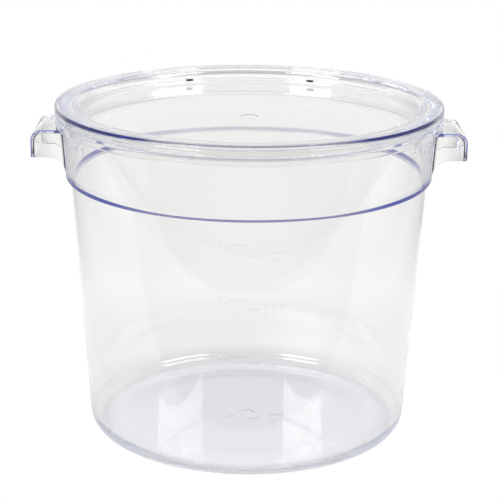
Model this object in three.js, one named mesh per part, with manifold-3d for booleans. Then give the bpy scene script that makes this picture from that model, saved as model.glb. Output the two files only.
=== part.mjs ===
// Round food storage container: a clear injection-moulded tub with two moulded ear handles, and a
// press-on lid with a sunken panel on which the next tub stacks.
// Millimetres, +Z up, origin on the table under the middle of the base, handles along X.
import * as THREE from "three";
import { mergeVertices } from "three/addons/utils/BufferGeometryUtils.js";
import Module from "manifold-3d";

// Tub wall
const baseRadius = 93.8; // outer wall carried down to the table
const wallDraft = 3.74; // degrees that the wall leans outwards, so that it leaves the mould
const wall = 2;
const tubHeight = 193.7; // table to the top of the rim
const baseCorner = 11; // outer radius between the base and the wall

// Base
const floorThickness = 2.8;
const footWidth = 5; // flat ring that the tub stands on
const footRecess = 0.8; // the middle of the base stands this far off the table
const footSlope = 16; // width of the slope between the ring and the middle

// Collar: above the stacking shoulder the wall steps out, and its inside carries straight on to the rim
const collarHeight = 40.2; // shoulder to the top of the rim
const shoulderStep = 2.9;
const rimRound = 1.2;

// Rim band: a flange round the collar that stiffens the mouth and stops the lid
const bandDrop = 2.8; // top of the rim down to the band
const bandHeight = 5.6;
const bandReach = 3.3; // how far the band stands out of the collar
const bandFlange = 2.2; // thickness of its top
const bandLip = 1.8; // thickness of its face, which hangs from the top

// Ear handles: inverted trays under the band, open below for the fingers
const handleSpan = 250; // over both handles
const handleWidth = 41;
const handleDrop = 2.5; // bottom of the band down to the top of the ear
const handleDepth = 16; // top of the ear down to the bottom of its lip
const handleWall = 2;
const handleBend = 6; // outer radius between the top of the ear and its lip
const handleCorner = 1.5; // outer radius between the lip and the end webs, seen from above
const handleRoot = 10; // radius under the end webs where they run into the collar

// Lid
const lidThickness = 2.4;
const lidClearance = 0.3; // between the lid and the rim and band that it sits on
const lidOverhang = 0.2; // the lid reaches this much past the band
const lidEdge = 1; // outer radius round its top
const plugGap = 2.7; // between the lid's sunken wall and the mouth of the tub
const panelDepth = 8.8; // top of the lid down to its sunken panel
const panelDraft = 8; // degrees that the sunken wall leans outwards
const panelFillet = 2.4;

// Gate marks: round dimples where the plastic entered the moulds
const gateRadius = 4.2;
const gateDepth = 0.3;

// Small rounding on edges, and how finely circles and arcs are cut
const softEdge = 0.8;
const sides = 72;
const largeArcSteps = 4;
const smallArcSteps = 2;
const smallArc = 3; // arcs below this radius take the smaller number of steps

// Sizes that follow from those above
const lean = Math.tan(THREE.MathUtils.degToRad(wallDraft));
const wallAt = (height) => baseRadius + height * lean; // outer radius below the shoulder
const collarAt = (height) => wallAt(height) + shoulderStep; // outer radius above it
const floorTop = footRecess + floorThickness;
const footInner = baseRadius - baseCorner - footWidth;
const innerCorner = baseCorner - wall;
const shoulderHeight = tubHeight - collarHeight;
const bandTop = tubHeight - bandDrop;
const bandBottom = bandTop - bandHeight;
const flangeUnder = bandTop - bandFlange;
const bandRadius = collarAt(bandBottom) + bandReach;
const lipRadius = bandRadius - bandLip;
const mouthRadius = wallAt(tubHeight) - wall;
const lidUnder = tubHeight + lidClearance;
const lidTop = lidUnder + lidThickness;
const lidRadius = bandRadius + lidOverhang;
const skirtInner = collarAt(tubHeight) + lidClearance;
const skirtBottom = bandTop + lidClearance;
const panelTop = lidTop - panelDepth;
const panelUnder = panelTop - lidThickness;
const plugOuter = mouthRadius - plugGap;
const recessEdge = plugOuter - lidThickness;
const panelRadius = recessEdge - panelDepth * Math.tan(THREE.MathUtils.degToRad(panelDraft));

const wasm = await Module();
wasm.setup();

// The points of an outline whose corners, given as [x, y, radius], are rounded to that radius.
function rounded(corners) {
  return corners.flatMap(([x, y, radius = 0], i) => {
    const corner = new THREE.Vector2(x, y);
    if (radius === 0) return [corner];
    const last = new THREE.Vector2(...corners.at(i - 1)).sub(corner).normalize();
    const next = new THREE.Vector2(...corners[(i + 1) % corners.length]).sub(corner).normalize();
    const half = Math.acos(last.dot(next)) / 2;
    const inwards = last.clone().add(next).normalize();
    const centre = corner.clone().addScaledVector(inwards, radius / Math.sin(half));
    const start = corner.clone().addScaledVector(last, radius / Math.tan(half));
    const sweep = Math.sign(next.cross(last)) * (Math.PI - 2 * half);
    const steps = radius < smallArc ? smallArcSteps : largeArcSteps;
    return Array.from({ length: steps + 1 }, (_, k) => start.clone().rotateAround(centre, (sweep * k) / steps));
  });
}

// A closed geometry as a solid that can be joined and cut.
function solid(geometry) {
  geometry.deleteAttribute("normal");
  geometry.deleteAttribute("uv");
  const merged = mergeVertices(geometry);
  return new wasm.Manifold(
    new wasm.Mesh({
      numProp: 3,
      vertProperties: merged.getAttribute("position").array,
      triVerts: Uint32Array.from(merged.getIndex().array),
    }),
  );
}

// A solid as geometry again.
function geometryOf(body) {
  const { vertProperties, triVerts } = body.getMesh();
  const geometry = new THREE.BufferGeometry();
  geometry.setAttribute("position", new THREE.BufferAttribute(vertProperties, 3));
  geometry.setIndex(new THREE.BufferAttribute(triVerts, 1));
  geometry.computeVertexNormals();
  return geometry;
}

// Outline of [radius, height], anticlockwise from the axis and back to it, turned round Z.
function turned(outline) {
  return solid(new THREE.LatheGeometry(outline, sides).rotateX(Math.PI / 2));
}

// Outline of [x, y] raised from one height to another.
function raised(outline, low, high) {
  const options = { depth: high - low, bevelEnabled: false };
  return solid(new THREE.ExtrudeGeometry(new THREE.Shape(outline), options).translate(0, 0, low));
}

// Outline of [x, z] carried along Y, half of the width to each side.
function carried(outline, width) {
  const options = { depth: width, bevelEnabled: false };
  const block = new THREE.ExtrudeGeometry(new THREE.Shape(outline), options);
  return solid(block.translate(0, 0, -width / 2).rotateX(Math.PI / 2));
}

// The tub's section: under the base, up the wall, over the shoulder, band and rim, and down inside.
const tub = turned(
  rounded([
    [0, footRecess + gateDepth],
    [gateRadius, footRecess + gateDepth],
    [gateRadius + gateDepth, footRecess],
    [footInner - footSlope, footRecess],
    [footInner, 0],
    [wallAt(0), 0, baseCorner],
    [wallAt(shoulderHeight), shoulderHeight, softEdge],
    [collarAt(shoulderHeight), shoulderHeight, softEdge],
    [collarAt(flangeUnder), flangeUnder],
    [lipRadius, flangeUnder],
    [lipRadius, bandBottom],
    [bandRadius, bandBottom, softEdge],
    [bandRadius, bandTop, softEdge],
    [collarAt(bandTop), bandTop],
    [collarAt(tubHeight), tubHeight, rimRound],
    [mouthRadius, tubHeight, rimRound],
    [wallAt(floorTop) - wall, floorTop, innerCorner],
    [0, floorTop],
  ]),
);

// An ear reaches out from the axis; what lies inside the middle of the collar's wall is cut away.
const earTop = bandBottom - handleDrop;
const earBottom = earTop - handleDepth;
const earFoot = earBottom - 1.2 * handleRoot;
const earReach = handleSpan / 2;
const earHalf = handleWidth / 2;
const webRootAt = (height) => Math.sqrt(collarAt(height) ** 2 - earHalf ** 2) - softEdge / 2; // just inside the collar

// The ear's outside: a plate bent down into a lip, and end webs that sweep down into the collar.
const earSection = carried(
  rounded([
    [0, earFoot],
    [webRootAt(earFoot), earFoot],
    [webRootAt(earBottom), earBottom, handleRoot],
    [earReach, earBottom, softEdge],
    [earReach, earTop, handleBend],
    [0, earTop],
  ]),
  handleWidth,
);
const earPlan = raised(
  rounded([
    [0, -earHalf],
    [earReach, -earHalf, handleCorner],
    [earReach, earHalf, handleCorner],
    [0, earHalf],
  ]),
  earFoot,
  tubHeight,
);

// The finger space under the ear.
const fingerReach = earReach - handleWall;
const fingerHalf = earHalf - handleWall;
const fingerSection = carried(
  rounded([
    [0, earFoot],
    [fingerReach, earFoot],
    [fingerReach, earTop - handleWall, Math.max(handleBend - handleWall, softEdge)],
    [0, earTop - handleWall],
  ]),
  2 * fingerHalf,
);
const fingerPlan = raised(
  rounded([
    [0, -fingerHalf],
    [fingerReach, -fingerHalf, Math.max(handleCorner - handleWall, softEdge)],
    [fingerReach, fingerHalf, Math.max(handleCorner - handleWall, softEdge)],
    [0, fingerHalf],
  ]),
  earFoot,
  earTop,
);

// The root ties the ear to the band above it, flush with the band's face.
const earRoot = turned(
  rounded([
    [0, earTop - handleWall],
    [bandRadius, earTop - handleWall],
    [bandRadius, bandTop - softEdge],
    [0, bandTop - softEdge],
  ]),
);
const tubCore = turned(
  rounded([
    [0, earFoot],
    [collarAt(earFoot) - wall / 2, earFoot],
    [collarAt(tubHeight) - wall / 2, tubHeight],
    [0, tubHeight],
  ]),
);

const ear = earSection
  .subtract(fingerSection.intersect(fingerPlan))
  .add(earRoot)
  .intersect(earPlan)
  .subtract(tubCore);
const oppositeEar = solid(geometryOf(ear).rotateZ(Math.PI));

// The lid's section: under the panel, up inside the mouth, over the rim, down the skirt, and back on top.
const lid = turned(
  rounded([
    [0, panelUnder],
    [panelRadius + lidThickness, panelUnder, panelFillet + lidThickness],
    [plugOuter, lidUnder, softEdge],
    [skirtInner, lidUnder, softEdge],
    [skirtInner, skirtBottom],
    [lidRadius, skirtBottom, softEdge],
    [lidRadius, lidTop, lidEdge],
    [recessEdge, lidTop, softEdge + lidThickness],
    [panelRadius, panelTop, panelFillet],
    [gateRadius + gateDepth, panelTop],
    [gateRadius, panelTop - gateDepth],
    [0, panelTop - gateDepth],
  ]),
);

const clearPlastic = new THREE.MeshStandardMaterial({
  name: "clear_polycarbonate",
  color: 0xeef1f7,
  roughness: 0.08,
  metalness: 0,
  transparent: true,
  opacity: 0.35,
});

const container = new THREE.Group();
container.name = "round_food_storage_container";

const tubMesh = new THREE.Mesh(geometryOf(tub.add(ear).add(oppositeEar)), clearPlastic);
tubMesh.name = "tub";
container.add(tubMesh);

const lidMesh = new THREE.Mesh(geometryOf(lid), clearPlastic);
lidMesh.name = "lid";
container.add(lidMesh);

export default container;
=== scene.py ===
# Round clear food storage tub with a press-on lid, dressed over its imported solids.
# Metres, +Z up, origin on the table under the middle of the base, ears along X.
import math

import bmesh
import bpy
from mathutils import Euler, Matrix, Vector


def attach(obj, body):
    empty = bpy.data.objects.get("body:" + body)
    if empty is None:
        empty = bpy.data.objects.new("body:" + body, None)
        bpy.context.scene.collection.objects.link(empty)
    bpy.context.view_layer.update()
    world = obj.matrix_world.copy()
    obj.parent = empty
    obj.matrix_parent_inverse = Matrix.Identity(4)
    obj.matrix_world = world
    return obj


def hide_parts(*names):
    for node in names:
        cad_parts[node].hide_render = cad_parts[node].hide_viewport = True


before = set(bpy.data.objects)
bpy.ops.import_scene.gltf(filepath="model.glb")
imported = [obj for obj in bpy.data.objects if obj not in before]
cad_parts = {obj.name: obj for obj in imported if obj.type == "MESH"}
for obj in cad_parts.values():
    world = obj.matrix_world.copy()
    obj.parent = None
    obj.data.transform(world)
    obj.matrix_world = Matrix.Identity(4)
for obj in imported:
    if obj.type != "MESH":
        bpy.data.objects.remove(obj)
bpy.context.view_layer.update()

scene = bpy.context.scene

# Tub: one injection moulding in clear polycarbonate. Base, drafted wall, stacking shoulder, collar and rim
# band are one section turned round Z, and both ear handles come out of the same mould as part of it.
mm = 0.001
base_radius = 93.8 * mm
wall_draft = math.radians(3.74)
wall_lean = math.tan(wall_draft)
wall = 2 * mm
tub_height = 193.7 * mm
base_corner = 11 * mm
floor_thickness = 2.8 * mm
foot_width = 5 * mm
foot_recess = 0.8 * mm
foot_slope = 16 * mm
foot_round = 150 * mm
foot_inner = base_radius - base_corner - foot_width
floor_top = foot_recess + floor_thickness
collar_height = 40.2 * mm
shoulder = tub_height - collar_height
shoulder_step = 2.9 * mm
shoulder_edge = 1.6 * mm
band_drop = 2.8 * mm
band_height = 5.6 * mm
band_reach = 3.3 * mm
band_lip = 1.8 * mm
flange_thickness = 2.2 * mm
band_top = tub_height - band_drop
band_bottom = band_top - band_height
flange_under = band_top - flange_thickness
rim_round = 1.2 * mm
soft_edge = 0.8 * mm
fine_edge = 0.4 * mm
gate_radius = 4.2 * mm
gate_depth = 0.2 * mm
gate_edge = 1.4 * mm
ear_drop = 2.5 * mm
ear_depth = 16 * mm
ear_reach = 125 * mm
ear_half = 20.5 * mm
ear_wall = 2 * mm
ear_bend = 6 * mm
ear_root = 10 * mm
ear_fillet = 1.3 * mm
ear_top = band_bottom - ear_drop
ear_bottom = ear_top - ear_depth
ear_foot = ear_bottom - 1.2 * ear_root


def wall_at(height):
    """Outer radius of the wall below the shoulder."""
    return base_radius + height * wall_lean


def collar_at(height):
    """Outer radius of the collar above the shoulder."""
    return wall_at(height) + shoulder_step


band_radius = collar_at(band_bottom) + band_reach
mouth_radius = wall_at(tub_height) - wall
arc_steps = 8
flat_guard = 0.3 * mm
guard_share = 0.3


def section(corners):
    """Points of an outline whose corners, (x, y) or (x, y, radius), are rounded.

    Each arc has a guard point close by on either side, so that the flats beside it shade flat."""
    sides = []
    for i, corner in enumerate(corners):
        here = Vector(corner[:2])
        back = (Vector(corners[i - 1][:2]) - here).normalized()
        ahead = (Vector(corners[(i + 1) % len(corners)][:2]) - here).normalized()
        half = back.angle(ahead) / 2
        radius = corner[2] if len(corner) > 2 else 0
        sides.append((here, back, ahead, half, radius, radius / math.tan(half)))
    points = []
    for i, (here, back, ahead, half, radius, reach) in enumerate(sides):
        if radius == 0:
            points.append(here)
            continue
        before = sides[i - 1]
        after = sides[(i + 1) % len(sides)]
        flat_before = (before[0] - here).length - before[5] - reach
        flat_after = (after[0] - here).length - after[5] - reach
        centre = here + (back + ahead).normalized() * radius / math.sin(half)
        spoke = here + back * reach - centre
        turn = math.copysign(math.pi - 2 * half, ahead.cross(back))
        points.append(here + back * (reach + min(flat_guard, guard_share * flat_before)))
        for k in range(arc_steps + 1):
            points.append(centre + Matrix.Rotation(turn * k / arc_steps, 2) @ spoke)
        points.append(here + ahead * (reach + min(flat_guard, guard_share * flat_after)))
    return points


class Wire:
    """What a node gives out. Arithmetic on it adds Math nodes to the same tree."""

    def __init__(self, tree, socket=None):
        self.tree = tree
        self.socket = socket

    def node(self, kind, out=0, settings=(), sockets=()):
        """Adds a node, makes its settings, then fills its sockets with values or links."""
        made = self.tree.nodes.new(kind)
        for name, value in dict(settings).items():
            setattr(made, name, value)
        for name, value in dict(sockets).items():
            wires = value if isinstance(value, list) else [value]
            for wire in wires:
                if isinstance(wire, Wire):
                    self.tree.links.new(made.inputs[name], wire.socket)
                else:
                    made.inputs[name].default_value = wire
        return Wire(self.tree, made.outputs[out] if made.outputs else None)

    def math(self, operation, first, second=0.0):
        """Adds a Math node."""
        return self.node("ShaderNodeMath", 0, {"operation": operation}, {0: first, 1: second})

    def part(self, axis):
        """The X, Y or Z of a vector."""
        return self.node("ShaderNodeSeparateXYZ", axis, {}, {"Vector": self})

    def ease(self, low, high, first, last):
        """Goes smoothly from first to last as this value goes from low to high."""
        return self.node(
            "ShaderNodeMapRange",
            0,
            {"interpolation_type": "SMOOTHSTEP"},
            {"Value": self, "From Min": low, "From Max": high, "To Min": first, "To Max": last},
        )

    def within(self, low, high, soft):
        """One between two values, and nothing a soft edge beyond them."""
        return self.ease(low - soft, low, 0.0, 1.0) * self.ease(high, high + soft, 1.0, 0.0)

    def __add__(self, other):
        return self.math("ADD", self, other)

    __radd__ = __add__

    def __sub__(self, other):
        return self.math("SUBTRACT", self, other)

    def __rsub__(self, other):
        return self.math("SUBTRACT", other, self)

    def __mul__(self, other):
        return self.math("MULTIPLY", self, other)

    __rmul__ = __mul__

    def __truediv__(self, other):
        return self.math("DIVIDE", self, other)

    def __mod__(self, other):
        return self.math("MODULO", self, other)


def grow(tree_name, inputs):
    """Starts a Geometry Nodes tree with a geometry in and out, and the named inputs."""
    tree = bpy.data.node_groups.new(tree_name, "GeometryNodeTree")
    tree.interface.new_socket("Geometry", in_out="INPUT", socket_type="NodeSocketGeometry")
    for name, kind in inputs.items():
        tree.interface.new_socket(name, in_out="INPUT", socket_type="NodeSocket" + kind)
    tree.interface.new_socket("Geometry", in_out="OUTPUT", socket_type="NodeSocketGeometry")
    start = tree.nodes.new("NodeGroupInput")
    wires = {socket.name: Wire(tree, socket) for socket in start.outputs if socket.name}
    return tree, Wire(tree), wires


def end(start, geometry, plastic):
    """Ends a tree with real geometry that carries its material."""
    real = start.node("GeometryNodeRealizeInstances", 0, {}, {"Geometry": geometry})
    dressed = start.node("GeometryNodeSetMaterial", 0, {}, {"Geometry": real, "Material": plastic})
    start.node("NodeGroupOutput", 0, {}, {0: dressed})


sharp_angle = math.radians(32)


def settle(piece):
    """Makes what a piece's modifiers give its plain mesh, smooth, with its real edges kept sharp."""
    graph = bpy.context.evaluated_depsgraph_get()
    made = bpy.data.meshes.new_from_object(piece.evaluated_get(graph), depsgraph=graph)
    piece.modifiers.clear()
    piece.data = made
    made.shade_smooth()
    made.set_sharp_from_angle(angle=sharp_angle)
    return piece


def shape(name, points, faces=()):
    """A new object in the scene from points and faces."""
    mesh = bpy.data.meshes.new(name)
    mesh.from_pydata(points, [], faces)
    piece = bpy.data.objects.new(name, mesh)
    scene.collection.objects.link(piece)
    return piece


def run(piece, tree, values):
    """Puts a tree on a piece, sets its inputs by their identifiers, and settles the result."""
    modifier = piece.modifiers.new(tree.name, "NODES")
    modifier.node_group = tree
    for item in tree.interface.items_tree:
        if item.in_out == "INPUT" and item.name in values:
            modifier[item.identifier] = values[item.name]
    return settle(piece)


turning, start, wires = grow("turned_section", {"Sides": "Int", "Weld": "Float", "Plastic": "Material"})
rows = start.node(
    "GeometryNodeAttributeDomainSize", "Point Count", {"component": "MESH"}, {"Geometry": wires["Geometry"]}
)
sheet = start.node(
    "GeometryNodeMeshGrid", "Mesh", {}, {"Vertices X": wires["Sides"] + 1, "Vertices Y": rows}
)
index = start.node("GeometryNodeInputIndex")
outline = start.node(
    "GeometryNodeSampleIndex",
    0,
    {"data_type": "FLOAT_VECTOR"},
    {"Geometry": wires["Geometry"], "Value": start.node("GeometryNodeInputPosition"), "Index": index % rows},
)
step = start.math("FLOOR", index / rows)
turned_place = start.node(
    "ShaderNodeVectorRotate",
    0,
    {"rotation_type": "Z_AXIS"},
    {"Vector": outline, "Angle": step * (2 * math.pi) / wires["Sides"]},
)
turned_sheet = start.node(
    "GeometryNodeSetPosition", 0, {}, {"Geometry": sheet, "Position": turned_place}
)
welded = start.node(
    "GeometryNodeMergeByDistance", 0, {}, {"Geometry": turned_sheet, "Distance": wires["Weld"]}
)
end(start, welded, wires["Plastic"])

turned_sides = 256
weld = 0.002 * mm


def turned(name, corners, plastic):
    """A piece turned round Z from an outline of (radius, height) that runs from the axis back to it."""
    piece = shape(name, [(p.x, 0, p.y) for p in section(corners)])
    return run(piece, turning, {"Sides": turned_sides, "Weld": weld, "Plastic": plastic})


clear = (0.999, 0.997, 0.990, 1.0)
shadow_clear = (0.955, 0.965, 0.98, 1.0)
deep_blue_grey = (0.70, 0.73, 0.90, 1.0)
refraction = 1.585
rubbed_haze = 0.3
flow_waves = {"Scale": 26.0, "Detail": 1.0, "Roughness": 0.4}
flow_relief = {"Strength": 0.12, "Distance": 0.3 * mm}
scuff_clouds = {"Scale": 60.0, "Detail": 4.0, "Roughness": 0.6}


def clear_plastic(name, polish, scuff, rubbed_below, depth_tint, edges):
    """Clear polycarbonate: polished by the mould, with faint flow waves, and scuffed most where it is stood.

    Its tint carries painted shade along thick edges and in corners, standing in for the dark that they
    refract: edges gives a mask and a tint for each kind of them."""
    material = bpy.data.materials.new(name)
    material.use_nodes = True
    material.node_tree.nodes.clear()
    start = Wire(material.node_tree)
    place = start.node("ShaderNodeTexCoord", "Object")
    waves = start.node("ShaderNodeTexNoise", "Fac", {}, {"Vector": place, **flow_waves})
    clouds = start.node("ShaderNodeTexNoise", "Fac", {}, {"Vector": place, **scuff_clouds})
    flow = start.node("ShaderNodeBump", "Normal", {}, {"Height": waves, **flow_relief})
    aside = start.math("ABSOLUTE", place.part("X"))
    ahead = start.math("ABSOLUTE", place.part("Y"))
    height = place.part("Z")
    radius = start.math("SQRT", aside * aside + ahead * ahead)
    rubbed = height.ease(rubbed_below, rubbed_below + mm, rubbed_haze, 0.0)
    colour = clear
    for mask, tint in edges(start, aside, ahead, height, radius):
        colour = start.node("ShaderNodeMix", 2, {"data_type": "RGBA"}, {0: mask, 6: colour, 7: tint})
    body = start.node(
        "ShaderNodeBsdfPrincipled",
        "BSDF",
        {},
        {
            "Base Color": colour,
            "Roughness": polish + scuff * clouds + rubbed,
            "IOR": refraction,
            "Transmission Weight": 1.0,
            "Normal": flow,
        },
    )
    lets_light_by = start.node("ShaderNodeBsdfTransparent", 0, {}, {"Color": shadow_clear})
    shadow = start.node("ShaderNodeLightPath", "Is Shadow Ray")
    surface = start.node("ShaderNodeMixShader", 0, {}, {0: shadow, 1: body, 2: lets_light_by})
    depth = start.node(
        "ShaderNodeVolumeAbsorption", 0, {}, {"Color": deep_blue_grey, "Density": depth_tint}
    )
    start.node("ShaderNodeOutputMaterial", 0, {}, {"Surface": surface, "Volume": depth})
    return material


# Painted shade on the tub: dark blue along its edges, near black in the corners by the ears. A span gives
# where it starts and ends, then the value at each.
painted_edge_shade_blue = (0.004, 0.007, 0.18, 1.0)
edge_outside = (wall_at(shoulder) + 0.5 * mm, wall_at(shoulder) + mm, 0.0, 1.0)
edge_height = 1.7 * mm
edge_soft = 0.3 * mm
edge_widening = (40 * mm, 100 * mm, 1.0, 1.8)
edge_strength = (40 * mm, 80 * mm, 0.92, 1.0)
# Painted shade: a lighter blue line along the bend of each ear's end webs.
painted_bend_shade_blue = (0.14, 0.17, 0.55, 1.0)
bend_line = 0.6 * mm
bend_clear = (mm, 2 * mm, 0.0, 1.0)
web_skin = 0.3 * mm
web_soft = 0.1 * mm
lip_line = (1.6 * mm, 2.1 * mm, 0.2 * mm)
lip_run = (ear_reach - ear_bend, ear_reach - 0.6 * ear_bend, 0.0, 0.95)
# Near black painted shade: in the fillets beside the ears, at the ears' inner bends, and on the lid's lugs.
painted_dark_shade = (0.0008, 0.0009, 0.0015, 1.0)
corner_margin = 0.08 * mm
corner_fade = 3 * mm
hair = 0.05 * mm
# A faint lavender tint over everything below rubbed_height.
underside_lavender_tint = (0.97, 0.96, 1.0, 1.0)
rubbed_height = 1.2 * mm


def tub_edges(start, aside, ahead, height, radius):
    """Painted shade as dark blue on the collar's lower edge and the ends of the ears, and near black in
    their inner corners; and a faint lavender tint over the underside and foot.
    """
    outside = radius.ease(*edge_outside)
    rise = (height - shoulder) / aside.ease(*edge_widening)
    edge = rise.within(0, edge_height, edge_soft) * outside * aside.ease(*edge_strength)
    stand = radius - height * wall_lean - collar_at(0)
    down = start.math("MAXIMUM", ear_bend - ear_top + height, 0.0)
    out = start.math("MAXIMUM", ear_bend - ear_reach + aside, 0.0)
    depth = ear_bend - start.math("SQRT", down * down + out * out)
    web_face = ahead.within(ear_half - web_skin, ear_half + hair, web_soft)
    bent = depth.within(0, bend_line, edge_soft) * web_face * stand.ease(*bend_clear)
    lip = depth.within(*lip_line) * web_face * aside.ease(*lip_run)
    corner = stand.within(corner_margin, ear_fillet, hair)
    corner = corner * ahead.within(ear_half + corner_margin, ear_half + ear_fillet, hair)
    corner = corner * height.ease(ear_foot, ear_foot + corner_fade, 0.0, 1.0)
    corner = corner * height.ease(ear_top - mm, ear_top, 1.0, 0.0)
    dark = start.math("MAXIMUM", corner, lip)
    foot = height.ease(rubbed_height, rubbed_height + mm, 1.0, 0.0)
    return (edge, painted_edge_shade_blue), (bent, painted_bend_shade_blue), (dark, painted_dark_shade), (foot, underside_lavender_tint)


polish = 0.008
tub_scuff = 0.02
tub_depth_tint = 7.0
tub_plastic = clear_plastic(
    "clear_polycarbonate_tub", polish, tub_scuff, rubbed_height, tub_depth_tint, tub_edges
)
tub = turned(
    "tub_moulding",
    [
        (0, foot_recess + gate_depth),
        (gate_radius, foot_recess + gate_depth, fine_edge),
        (gate_radius + gate_edge, foot_recess, fine_edge),
        (foot_inner - foot_slope, foot_recess, foot_round),
        (foot_inner, 0, foot_round),
        (wall_at(0), 0, base_corner),
        (wall_at(shoulder), shoulder, soft_edge),
        (collar_at(shoulder), shoulder, shoulder_edge),
        (collar_at(flange_under), flange_under, fine_edge),
        (band_radius - band_lip, flange_under, fine_edge),
        (band_radius - band_lip, band_bottom, fine_edge),
        (band_radius, band_bottom, fine_edge),
        (band_radius, band_top, fine_edge),
        (collar_at(band_top), band_top),
        (collar_at(tub_height), tub_height, rim_round),
        (mouth_radius, tub_height, rim_round),
        (wall_at(floor_top) - wall, floor_top, base_corner - wall),
        (0, floor_top),
    ],
    tub_plastic,
)

# Ears: each is an inverted tray in the tub's own plastic and mould. A plate bends down into a lip, its end
# webs sweep down into the collar, and a tie joins the plate to the band above it.
ear_start = 90 * mm
overrun = mm
bevel_steps = 4
tie_inset = 0.4 * mm
tie_set_back = 0.15 * mm
tie_sink = 0.6 * ear_wall


def web_root_at(height):
    """Where an end web's lower edge runs into the collar."""
    return math.sqrt(collar_at(height) ** 2 - ear_half**2) - fine_edge / 2


def finished(name, mesh):
    """A new object in the scene from a mesh in the making, which is used up."""
    piece = shape(name, [])
    mesh.to_mesh(piece.data)
    mesh.free()
    return piece


def carried(name, corners, half, end_round):
    """An outline of (x, z) carried along Y, with its ends rounded over."""
    outline = section(corners)
    count = len(outline)
    mesh = bmesh.new()
    near = [mesh.verts.new((p.x, -half, p.y)) for p in outline]
    far = [mesh.verts.new((p.x, half, p.y)) for p in outline]
    for i in range(count):
        k = (i + 1) % count
        mesh.faces.new((near[i], near[k], far[k], far[i]))
    ends = [mesh.faces.new(near[::-1]), mesh.faces.new(far)]
    edges = [edge for face in ends for edge in face.edges]
    bmesh.ops.recalc_face_normals(mesh, faces=mesh.faces[:])
    bmesh.ops.bevel(
        mesh,
        geom=edges,
        offset=end_round,
        offset_type="OFFSET",
        segments=bevel_steps,
        profile=0.5,
        affect="EDGES",
    )
    return finished(name, mesh)


def combine(piece, other, operation):
    """Joins or cuts a piece with another closed piece, which is used up."""
    modifier = piece.modifiers.new(operation, "BOOLEAN")
    modifier.operation = operation
    modifier.solver = "EXACT"
    modifier.object = other
    settle(piece)
    bpy.data.objects.remove(other)


def ear_tray(name):
    """The ear without its tie, still running back through the collar."""
    tray = carried(
        name,
        [
            (ear_start, ear_foot),
            (web_root_at(ear_foot), ear_foot),
            (web_root_at(ear_bottom), ear_bottom, ear_root),
            (ear_reach, ear_bottom, soft_edge),
            (ear_reach, ear_top, ear_bend),
            (ear_start, ear_top),
        ],
        ear_half,
        fine_edge,
    )
    fingers = carried(
        "finger_space",
        [
            (ear_start - overrun, ear_foot - overrun),
            (ear_reach - ear_wall, ear_foot - overrun),
            (ear_reach - ear_wall, ear_top - ear_wall, ear_bend - ear_wall),
            (ear_start - overrun, ear_top - ear_wall),
        ],
        ear_half - ear_wall,
        fine_edge,
    )
    combine(tray, fingers, "DIFFERENCE")
    return tray


def ear_tie(name):
    """The block that ties the ear's plate to the band above it, rounded on its upright edges."""
    half = ear_half - tie_inset
    reach = band_radius - tie_set_back
    steps = 6
    face_share = 0.9
    spread = math.asin(half / reach)
    face = [face_share * spread * (k / steps - 1) for k in range(2 * steps + 1)]
    corners = [(ear_start, -half), (reach * math.cos(spread), -half, soft_edge)]
    corners += [(reach * math.cos(angle), reach * math.sin(angle)) for angle in face]
    corners += [(reach * math.cos(spread), half, soft_edge), (ear_start, half)]
    plan = section(corners)
    low = ear_top - tie_sink
    high = band_top - soft_edge
    count = len(plan)
    points = [(p.x, p.y, low) for p in plan] + [(p.x, p.y, high) for p in plan]
    faces = [(i, (i + 1) % count, count + (i + 1) % count, count + i) for i in range(count)]
    faces.append(list(range(count))[::-1])
    faces.append(list(range(count, 2 * count)))
    return shape(name, points, faces)


def web_fillet(name, side):
    """The hollow fillet between an end web and the collar. It narrows where the web sweeps in below."""
    bite = 0.05 * mm
    deep = 1.6 * mm
    low = ear_bottom - 0.8 * ear_root
    high = ear_top - soft_edge
    steps = 24
    arc = 10
    mesh = bmesh.new()
    rings = []
    for k in range(steps + 1):
        height = low + (high - low) * k / steps
        left = ear_root - max(ear_bottom - height, 0)
        radius = min(ear_fillet, ear_root - math.sqrt(ear_root**2 - left**2))
        collar = collar_at(height)
        hub = Vector((0, ear_half + radius - bite))
        hub.x = math.sqrt((collar + radius - bite) ** 2 - hub.y**2)
        spread = math.pi - math.atan2(hub.y, hub.x) - math.pi / 2
        turns = [math.pi / 2 + spread * i / arc for i in range(arc + 1)]
        plan = [hub + radius * Vector((math.cos(turn), -math.sin(turn))) for turn in turns]
        plan.append(plan[-1] * (1 - deep / collar))
        plan.append(Vector((math.sqrt(collar**2 - ear_half**2) - deep, ear_half - ear_wall / 2)))
        plan.append(Vector((hub.x, ear_half - ear_wall / 2)))
        rings.append([mesh.verts.new((p.x, side * p.y, height)) for p in plan])
    count = len(rings[0])
    for lower, upper in zip(rings, rings[1:]):
        for i in range(count):
            k = (i + 1) % count
            mesh.faces.new((lower[i], lower[k], upper[k], upper[i]))
    mesh.faces.new(rings[0])
    mesh.faces.new(rings[-1])
    bmesh.ops.recalc_face_normals(mesh, faces=mesh.faces[:])
    return finished(name, mesh)


collar_core = [
    (0, ear_foot - overrun),
    (collar_at(ear_foot) - wall / 2, ear_foot - overrun),
    (collar_at(tub_height) - wall / 2, tub_height),
    (0, tub_height),
]
for side in range(2):
    ear = ear_tray("ear_tray")
    combine(ear, ear_tie("ear_tie"), "UNION")
    combine(ear, web_fillet("near_fillet", -1), "UNION")
    combine(ear, web_fillet("far_fillet", 1), "UNION")
    combine(ear, turned("collar_core", collar_core, tub_plastic), "DIFFERENCE")
    ear.data.transform(Matrix.Rotation(side * math.pi, 4, "Z"))
    combine(tub, ear, "UNION")

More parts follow.
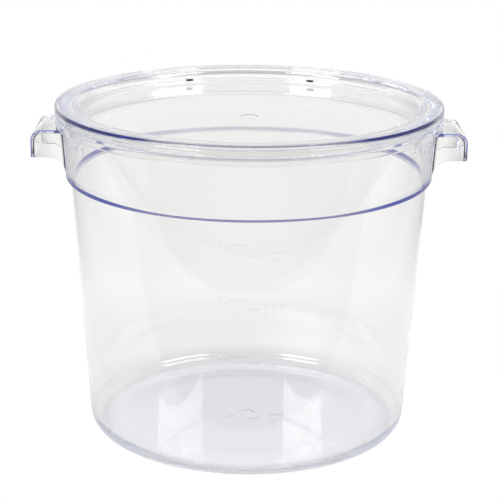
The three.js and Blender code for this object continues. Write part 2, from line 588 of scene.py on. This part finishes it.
# Level marks: raised out of the front of the wall by hollows in the mould. Plain ticks have litres to the
# left and quarts to the right, each at the height where the tub holds that much.
letter_size = 6.4 * mm
tick_width = 0.7 * mm
tick_bends = 9
mark_sink = 0.25 * mm
mark_rise = 0.3 * mm
mark_inputs = {"Label": "String", "Label At": "Float", "Tick At": "Float", "Tick Length": "Float"}
mark_inputs.update({"Height": "Float", "Plastic": "Material"})
marking, start, wires = grow("level_mark", mark_inputs)
letters = start.node(
    "GeometryNodeStringToCurves",
    0,
    {"align_x": "CENTER", "align_y": "MIDDLE"},
    {"String": wires["Label"], "Size": letter_size},
)
letters = start.node("GeometryNodeRealizeInstances", 0, {}, {"Geometry": letters})
letters = start.node("GeometryNodeFillCurve", 0, {}, {"Curve": letters})
label_at = start.node("ShaderNodeCombineXYZ", 0, {}, {"X": wires["Label At"]})
letters = start.node("GeometryNodeTransform", 0, {}, {"Geometry": letters, "Translation": label_at})
tick = start.node(
    "GeometryNodeMeshGrid",
    "Mesh",
    {},
    {"Size X": wires["Tick Length"], "Size Y": tick_width, "Vertices X": tick_bends, "Vertices Y": 2},
)
tick_at = start.node("ShaderNodeCombineXYZ", 0, {}, {"X": wires["Tick At"]})
tick = start.node("GeometryNodeTransform", 0, {}, {"Geometry": tick, "Translation": tick_at})
flat = start.node("GeometryNodeJoinGeometry", 0, {}, {"Geometry": [letters, tick]})
raised = start.node(
    "GeometryNodeExtrudeMesh",
    "Mesh",
    {},
    {"Mesh": flat, "Offset": (0.0, 0.0, 1.0), "Offset Scale": mark_sink + mark_rise, "Individual": False},
)
back = start.node("GeometryNodeFlipFaces", 0, {}, {"Mesh": flat})
closed = start.node("GeometryNodeJoinGeometry", 0, {}, {"Geometry": [raised, back]})
closed = start.node("GeometryNodeMergeByDistance", 0, {}, {"Geometry": closed, "Distance": weld})
spot = start.node("GeometryNodeInputPosition")
across, up, out = (spot.part(axis) for axis in "XYZ")
level = wires["Height"] + up
reach = base_radius - mark_sink + level * wall_lean + out
turn = across / reach
wrapped = start.node(
    "ShaderNodeCombineXYZ",
    0,
    {},
    {"X": reach * start.math("SINE", turn), "Y": -1 * reach * start.math("COSINE", turn), "Z": level},
)
closed = start.node("GeometryNodeSetPosition", 0, {}, {"Geometry": closed, "Position": wrapped})
end(start, closed, wires["Plastic"])

litre = 0.001
quart = 0.000946353
amounts = range(1, 5)
inside = wall_at(floor_top) - wall
scales = (("L", litre, -13 * mm, -5.3 * mm, 9.4 * mm), ("QT", quart, 14.6 * mm, 3.6 * mm, 6.8 * mm))
marks = bmesh.new()
for unit, volume, label_place, tick_place, tick_length in scales:
    for amount in amounts:
        filled = (inside**3 + 3 * wall_lean * amount * volume / math.pi) ** (1 / 3)
        values = {"Label": f"{amount}{unit}", "Label At": label_place, "Tick At": tick_place}
        values.update({"Tick Length": tick_length, "Height": floor_top + (filled - inside) / wall_lean})
        mark = run(shape("level_mark", []), marking, {**values, "Plastic": tub_plastic})
        marks.from_mesh(mark.data)
        bpy.data.objects.remove(mark)
combine(tub, finished("level_marks", marks), "UNION")

sliver = 0.005 * mm


def drop_slivers(piece):
    """Closes up the hair-thin faces that joining leaves along a seam, and splits faces of many corners."""
    mesh = bmesh.new()
    mesh.from_mesh(piece.data)
    bmesh.ops.remove_doubles(mesh, verts=mesh.verts[:], dist=sliver)
    bmesh.ops.dissolve_degenerate(mesh, edges=mesh.edges[:], dist=sliver)
    crowded = [face for face in mesh.faces if len(face.verts) > 4]
    bmesh.ops.triangulate(mesh, faces=crowded)
    stray = [edge for edge in mesh.edges if not edge.link_faces]
    bmesh.ops.delete(mesh, geom=stray, context="EDGES")
    mesh.to_mesh(piece.data)
    mesh.free()


drop_slivers(tub)
tub.data.materials.clear()
tub.data.materials.append(tub_plastic)
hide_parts("tub")
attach(tub, "tub")

# Lid: one injection moulding in clear polycarbonate. Its skirt presses down over the rim to the band, and
# its sunken panel, whose wall sits inside the mouth, takes the foot of the next tub.
lid_thickness = 2.4 * mm
lid_clearance = 0.3 * mm
lid_overhang = 0.2 * mm
lid_edge = mm
plug_gap = 2.7 * mm
panel_depth = 8.8 * mm
panel_lean = math.tan(math.radians(8))
panel_fillet = 2.4 * mm
lid_under = tub_height + lid_clearance
lid_top = lid_under + lid_thickness
lid_radius = band_radius + lid_overhang
skirt_inner = collar_at(tub_height) + lid_clearance
skirt_bottom = band_top + lid_clearance
panel_top = lid_top - panel_depth
panel_under = panel_top - lid_thickness
plug_outer = mouth_radius - plug_gap
recess_edge = plug_outer - lid_thickness
panel_radius = recess_edge - (lid_top - panel_top) * panel_lean
lug_drop = 6 * mm
lug_size = (1.8 * mm, 4.4 * mm, 1.3 * mm)
lug_azimuths = (67.3, 112.7)
lug_height = lid_top - lug_drop
lug_radius = recess_edge - (lid_top - lug_height) * panel_lean

# Painted shade: a navy line along the lid's outer top edge.
painted_rim_shade_navy = (0.0005, 0.001, 0.07, 1.0)
rim_reach = (lid_radius - 0.9 * mm, lid_radius - 0.6 * mm, 0.0, 1.0)
rim_widening = (30 * mm, 90 * mm, 0.7, 1.9)
rim_strength = (25 * mm, 60 * mm, 0.75, 1.0)
rim_fade = (100 * mm, 109 * mm, 1.0, 0.6)
rim_line = (0.9 * mm, 1.2 * mm, 1.0, 0.0)
lug_skin = 0.7 * mm
lug_soft = 0.1 * mm
lug_face = (lug_radius - 2 * mm, lug_radius - 0.25 * mm, lug_soft)


def lid_edges(start, aside, ahead, height, radius):
    """Painted shade as a navy line on the outer edge of the lid's top, most of all towards the ears, and
    near black on the lugs on its sunken wall.
    """
    drop = (lid_top - height) / aside.ease(*rim_widening)
    rim = radius.ease(*rim_reach) * drop.ease(*rim_line)
    rim = rim * aside.ease(*rim_strength) * aside.ease(*rim_fade)
    lug = height.within(lug_height - lug_skin, lug_height + lug_skin, lug_soft)
    lug = lug * radius.within(*lug_face)
    return (rim, painted_rim_shade_navy), (lug, painted_dark_shade)


lid_scuff = 0.025
lid_depth_tint = 3.0
never_rubbed = -mm
lid_plastic = clear_plastic(
    "clear_polycarbonate_lid", polish, lid_scuff, never_rubbed, lid_depth_tint, lid_edges
)
lid = turned(
    "lid_moulding",
    [
        (0, panel_under),
        (panel_radius + lid_thickness, panel_under, panel_fillet + lid_thickness),
        (plug_outer, lid_under, soft_edge),
        (skirt_inner, lid_under, soft_edge),
        (skirt_inner, skirt_bottom),
        (lid_radius, skirt_bottom, fine_edge),
        (lid_radius, lid_top, lid_edge),
        (recess_edge, lid_top, soft_edge + lid_thickness),
        (panel_radius, panel_top, panel_fillet),
        (gate_radius + gate_edge, panel_top, fine_edge),
        (gate_radius, panel_top - gate_depth, fine_edge),
        (0, panel_top - gate_depth),
    ],
    lid_plastic,
)
lugs = bmesh.new()
for azimuth in lug_azimuths:
    spin = Matrix.Rotation(math.radians(azimuth), 4, "Z")
    place = spin @ Matrix.Translation((lug_radius, 0, lug_height))
    bmesh.ops.create_cube(lugs, size=1.0, matrix=place @ Matrix.Diagonal((*lug_size, 1)))
combine(lid, finished("stacking_lugs", lugs), "UNION")
lid.data.materials.clear()
lid.data.materials.append(lid_plastic)
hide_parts("lid")
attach(lid, "lid")

# Stand: a sheet of white paper that the camera sees as white, with the tub's faint shadow. The plastic sees
# it white
# with painted shade: darker in steps towards the camera where the glossy wall mirrors it, as a lit table's
# front is, darker to the sides, and a painted contact shadow in a ring round the foot.
floor_reach = 6.0
floor_drop = 0.2 * mm
paper_white = (0.9, 0.9, 0.9, 1.0)
shadow_seen = (0.10, 0.22, 0.75, 1.0)
shadow_through = (0.09, 0.19, 0.70, 1.0)
front_edge = (-0.153, -0.143, 0.5, 1.0)
bow_centre = (0.03, 0.40, 0.0)
bow_fall = (0.735, 0.75, 1.0, 0.3)
bow_return = (0.76, 0.85, 0.0, 0.4)
flank_fall = (0.14, 0.32, 1.0, 0.68)
flank_return = (0.45, 0.8, 0.0, 0.32)
# A painted contact shadow: a darker ring round the tub's foot in the white that the plastic sees.
painted_contact_shadow_fall = (0.078, 0.088, 0.95, 0.62)
painted_contact_shadow_return = (0.098, 0.145, 0.0, 0.25)
open_return = (0.15, 0.28, 0.0, 0.13)
corner_signs = ((-1, -1), (1, -1), (1, 1), (-1, 1))
floor = shape("floor", [(floor_reach * x, floor_reach * y, 0) for x, y in corner_signs], [(0, 1, 2, 3)])
floor.location.z = -floor_drop
paper = bpy.data.materials.new("white_sweep")
paper.use_nodes = True
paper.node_tree.nodes.clear()
start = Wire(paper.node_tree)
place = start.node("ShaderNodeTexCoord", "Object")
aside = start.math("ABSOLUTE", place.part("X"))
depth = place.part("Y")
away = start.node("ShaderNodeVectorMath", "Value", {"operation": "LENGTH"}, {0: place})
bow = start.node("ShaderNodeVectorMath", "Value", {"operation": "DISTANCE"}, {0: place, 1: bow_centre})
seen = start.node("ShaderNodeLightPath", "Is Camera Ray")
seen_through = start.node("ShaderNodeLightPath", "Is Transmission Ray")
mirrored = start.node("ShaderNodeLightPath", "Is Glossy Ray")
shown = start.math("MINIMUM", seen + seen_through + mirrored, 1.0)
glow = seen * away.ease(*shadow_seen) + (shown - seen) * away.ease(*shadow_through)
# Painted shade in the white that the plastic sees; the camera sees it plain white.
painted_floor_shade = depth.ease(*front_edge) * (bow.ease(*bow_fall) + bow.ease(*bow_return))
bounced = start.math("MINIMUM", start.node("ShaderNodeLightPath", "Glossy Depth"), 1.0)
painted_floor_shade = 1 - bounced * (1 - painted_floor_shade)
painted_floor_shade = painted_floor_shade * (aside.ease(*flank_fall) + aside.ease(*flank_return))
painted_contact_shadow = away.ease(*painted_contact_shadow_fall) + away.ease(*painted_contact_shadow_return)
painted_floor_shade = painted_floor_shade * (painted_contact_shadow + away.ease(*open_return))
matt = start.node("ShaderNodeBsdfDiffuse", 0, {}, {"Color": paper_white})
white = start.node("ShaderNodeEmission", 0, {}, {"Color": seen + (1 - seen) * painted_floor_shade})
sheet_shown = start.node("ShaderNodeMixShader", 0, {}, {0: glow, 1: matt, 2: white})
start.node("ShaderNodeOutputMaterial", 0, {}, {"Surface": sheet_shown})
floor.data.materials.append(paper)

# Light: a white sweep up to eye level under a dimmer ceiling, a soft box to each side of the camera, and an
# overhead scrim that lights the floor but doesn't show in the plastic.
sweep_fall = (0.10, 0.40, 1.0, 0.5)
world = bpy.data.worlds.new("studio")
world.use_nodes = True
world.node_tree.nodes.clear()
scene.world = world
start = Wire(world.node_tree)
height = start.node("ShaderNodeTexCoord", "Generated").part("Z")
sky = start.node("ShaderNodeBackground", 0, {}, {"Color": height.ease(*sweep_fall)})
start.node("ShaderNodeOutputWorld", 0, {}, {"Surface": sky})

box_distance = 1.8
box_lift = 1.45
box_tall = 0.68
aim = Vector((0, 0, 0.1))
soft_boxes = (("soft_box_left", -47.0, 1.15, 26.0), ("soft_box_right", 57.0, 1.4, 22.0))
for name, azimuth, width, strength in soft_boxes:
    lamp = bpy.data.lights.new(name, "AREA")
    lamp.shape = "RECTANGLE"
    lamp.size = width
    lamp.size_y = box_tall
    lamp.energy = strength
    box = bpy.data.objects.new(name, lamp)
    turn = math.radians(azimuth)
    box.location = (box_distance * math.sin(turn), -box_distance * math.cos(turn), box_lift)
    box.rotation_euler = (aim - box.location).to_track_quat("-Z", "Y").to_euler()
    box.visible_camera = False
    scene.collection.objects.link(box)

scrim_size = 2.4
scrim_lift = 2.4
scrim_strength = 12.0
scrim = bpy.data.lights.new("overhead_scrim", "AREA")
scrim.shape = "SQUARE"
scrim.size = scrim_size
scrim.energy = scrim_strength
overhead = bpy.data.objects.new("overhead_scrim", scrim)
overhead.location = (0, 0, scrim_lift)
overhead.visible_camera = False
overhead.visible_glossy = False
overhead.visible_transmission = False
scene.collection.objects.link(overhead)

# Camera: a long lens at the photograph's viewing angle, fitted to the tub's outline there.
# Light passes many walls of clear plastic, so it may bounce often before it is given up.
wall_bounces = 160
shadow_bounces = 32
scene.view_settings.view_transform = "Standard"
scene.cycles.max_bounces = wall_bounces
scene.cycles.transmission_bounces = wall_bounces
scene.cycles.glossy_bounces = wall_bounces
scene.cycles.transparent_max_bounces = shadow_bounces

camera_place = (0.001079, -1.0, 0.410228)
look_down = math.radians(16.899)
roll = math.radians(0.535)
lens = bpy.data.cameras.new("camera")
lens.sensor_width = 36.0
lens.lens = 126.71
camera = bpy.data.objects.new("camera", lens)
scene.collection.objects.link(camera)
camera.matrix_world = (
    Matrix.Translation(camera_place)
    @ Euler((math.pi / 2 - look_down, 0, 0)).to_matrix().to_4x4()
    @ Matrix.Rotation(roll, 4, "Z")
)
scene.camera = camera
